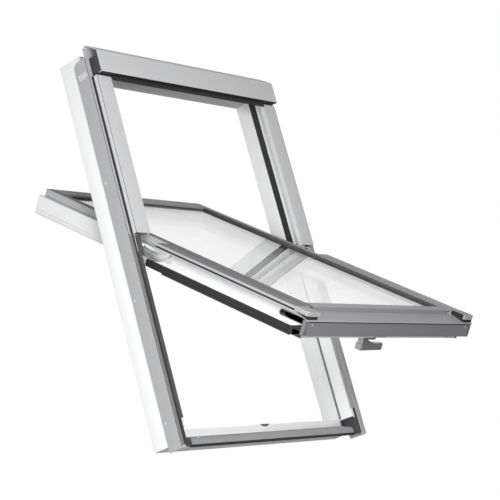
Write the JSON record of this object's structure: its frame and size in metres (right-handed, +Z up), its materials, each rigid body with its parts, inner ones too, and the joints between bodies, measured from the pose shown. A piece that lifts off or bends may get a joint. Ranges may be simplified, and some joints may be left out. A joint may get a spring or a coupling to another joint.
{
  "type": "roof skylight",
  "caption": "Centre-pivot roof window: a white rebated frame with grey sheet cladding and hood, and a sealed glazed sash that swings open on curved slide rails.",
  "frame": {"origin": "middle of the frame's lower edge, on its room-side face", "axes": "+X to the right seen from the weather side, -Y to the weather side, +Z up the slope of the frame"},
  "size_m": [0.8012, 0.8631, 1.1599],
  "materials": {
    "white_paint": "satin white lacquer over laminated softwood",
    "grey_sheet": "semi-matt grey coated sheet",
    "black_rubber": "matt extruded rubber",
    "grey_rubber": "matt grey extruded rubber",
    "grey_plastic": "fine-grained moulded plastic, matched to the sheet",
    "dark_plastic": "fine-grained moulded plastic",
    "bare_aluminium": "mill finish",
    "glass": "clear, very slightly green",
    "hinge_metal": "zinc-plated steel",
    "handle_metal": "satin anodised"
  },
  "bodies": {
    "frame": {"jamb_left": "white_paint", "jamb_right": "white_paint", "head": "white_paint", "sill": "white_paint", "side_cladding_left": "grey_sheet", "side_cladding_right": "grey_sheet", "sill_cladding": "grey_sheet", "head_cladding": "grey_sheet", "hood": "grey_sheet", "upper_cover_left": "grey_sheet", "upper_cover_right": "grey_sheet", "upper_seal_left": "black_rubber", "upper_seal_right": "black_rubber", "lower_seal_left": "grey_rubber", "lower_seal_right": "grey_rubber", "front_gasket_left": "black_rubber", "front_gasket_right": "black_rubber", "cover_foam_left": "dark_plastic", "cover_foam_right": "dark_plastic", "head_seal": "black_rubber", "sill_corner_left": "dark_plastic", "sill_corner_right": "dark_plastic", "striker_plate": "hinge_metal", "hood_gasket": "black_rubber", "hinge_housing_left": "hinge_metal", "hinge_housing_right": "hinge_metal", "hinge_disc_left": "hinge_metal", "hinge_disc_right": "hinge_metal"},
    "sash": {"stile_left": "white_paint", "stile_right": "white_paint", "sash_bottom_rail": "white_paint", "sash_top_rail": "white_paint", "pane_inner": "glass", "pane_outer": "glass", "glazing_spacer": "black_rubber", "glazing_gasket": "black_rubber", "bead_left": "grey_sheet", "bead_right": "grey_sheet", "bead_bottom": "grey_sheet", "bead_top": "grey_sheet", "stile_strip_left": "bare_aluminium", "stile_strip_right": "bare_aluminium", "sash_cover_left": "grey_sheet", "sash_cover_right": "grey_sheet", "sash_cover_bottom": "grey_sheet", "cover_corner_left": "grey_plastic", "cover_corner_right": "grey_plastic", "drip_panel": "grey_sheet", "panel_cap_left": "grey_plastic", "panel_cap_right": "grey_plastic", "corner_guide_left": "dark_plastic", "corner_guide_right": "dark_plastic", "sash_seal_left": "black_rubber", "sash_seal_right": "black_rubber", "slide_rail_left": "hinge_metal", "slide_rail_right": "hinge_metal", "lock_case": "hinge_metal", "handle_base": "handle_metal"},
    "handle": {"handle_lever": "handle_metal"},
    "bolt": {"latch_bolt": "hinge_metal"}
  },
  "joints": [
    {"name": "sash_slide", "type": "hinge", "parent": "frame", "child": "sash", "pos_m": [0, -0.1985, 0.6008], "axis": [1, 0, 0], "range_deg": [0, 50.3]},
    {"name": "handle_turn", "type": "hinge", "parent": "sash", "child": "handle", "pos_m": [-0.026, -0.49911, 0.14913], "axis": [0, -0.6388, 0.7694], "range_deg": [0, 90]},
    {"name": "bolt_slide", "type": "slide", "parent": "sash", "child": "bolt", "axis": [0, -0.7694, -0.6388], "range_m": [0, 0.012]}
  ],
  "couplings": [
    {"joint": "bolt_slide", "follows": "handle_turn", "m_per_rad": 0.007639}
  ]
}
